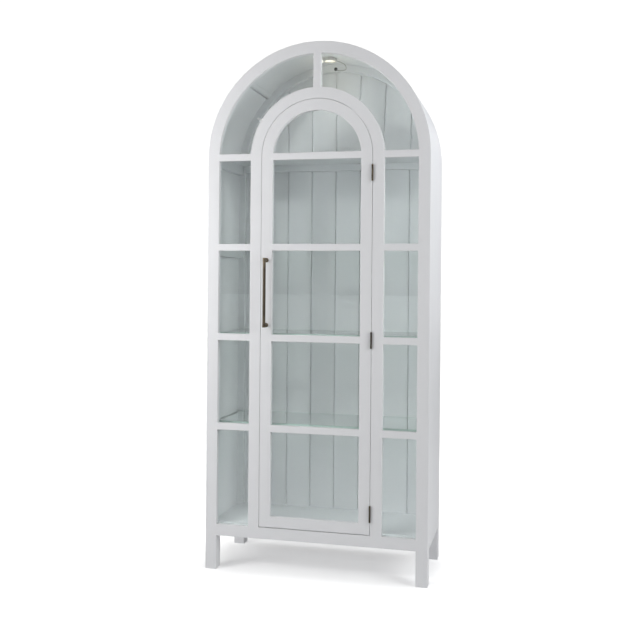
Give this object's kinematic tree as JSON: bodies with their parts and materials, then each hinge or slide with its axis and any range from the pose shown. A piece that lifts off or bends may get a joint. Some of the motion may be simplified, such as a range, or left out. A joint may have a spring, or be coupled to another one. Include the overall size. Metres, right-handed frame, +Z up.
{
  "type": "curio cabinet",
  "caption": "Tall arched white curio cabinet on four square legs, with side lights, a glazed arched door on butt hinges, glass shelves and a puck light.",
  "frame": {"origin": "on the floor, at the centre of the box that holds the case and the pull", "axes": "+X to the right as seen from the front, -Y out of the front, +Z up"},
  "size_m": [0.914, 0.436, 2.141],
  "materials": {
    "white_paint": "satin white paint over wood, faintly brushed",
    "window_glass": "clear, with a very slight green tint",
    "shelf_glass": "clear, greener at its edges",
    "aged_bronze": "dark antique bronze, rubbed lighter on the proud parts",
    "zinc": "zinc plated",
    "satin_nickel": "satin nickel",
    "white_plastic": "moulded, semi gloss",
    "warm_lens": "frosted, lit warm white",
    "pale_lead": "pale PVC",
    "black_rubber": "matt"
  },
  "bodies": {
    "cabinet": {"front_left_post": "white_paint", "front_right_post": "white_paint", "rear_left_post": "white_paint", "rear_right_post": "white_paint", "front_arch": "white_paint", "rear_arch": "white_paint", "top_mullion": "white_paint", "surround_left": "white_paint", "surround_right": "white_paint", "surround_arch": "white_paint", "front_bottom_rail": "white_paint", "rear_bottom_rail": "white_paint", "left_bottom_rail": "white_paint", "right_bottom_rail": "white_paint", "left_light_bars": "white_paint", "right_light_bars": "white_paint", "left_side_panel": "white_paint", "right_side_panel": "white_paint", "ceiling_left": "white_paint", "ceiling_centre": "white_paint", "ceiling_right": "white_paint", "ceiling_battens": "white_paint", "floor_panel": "white_paint", "lower_back_panel": "white_paint", "upper_back_panel": "white_paint", "rear_trims": "white_paint", "rear_trim_rail": "white_paint", "rear_trim_arch": "white_paint", "fixed_shelf": "white_paint", "upper_glass_shelf": "shelf_glass", "middle_glass_shelf": "shelf_glass", "lower_glass_shelf": "shelf_glass", "left_shelf_cleats": "white_paint", "right_shelf_cleats": "white_paint", "left_light_glass": "window_glass", "right_light_glass": "window_glass", "left_arch_glass": "window_glass", "right_arch_glass": "window_glass", "light_glass_beads": "white_paint", "light_housing": "satin_nickel", "light_lens": "warm_lens", "light_lead": "pale_lead", "lead_grommet": "black_rubber", "catch_body": "white_plastic", "hinge_frame_leaves": "aged_bronze", "hinge_pins": "aged_bronze", "hinge_frame_screws": "aged_bronze"},
    "door": {"door_left_stile": "white_paint", "door_right_stile": "white_paint", "door_arch": "white_paint", "door_bottom_rail": "white_paint", "door_bars": "white_paint", "door_glass": "window_glass", "door_glass_bead": "white_paint", "hinge_door_leaves": "aged_bronze", "hinge_door_screws": "aged_bronze", "pull_bar": "aged_bronze", "pull_posts": "aged_bronze", "pull_screws": "zinc", "catch_strike": "zinc"}
  },
  "joints": [
    {"name": "door_hinge", "type": "hinge", "parent": "cabinet", "child": "door", "pos_m": [0.2282, -0.186, 0.952], "axis": [0, 0, 1], "range_deg": [0, 170]}
  ]
}
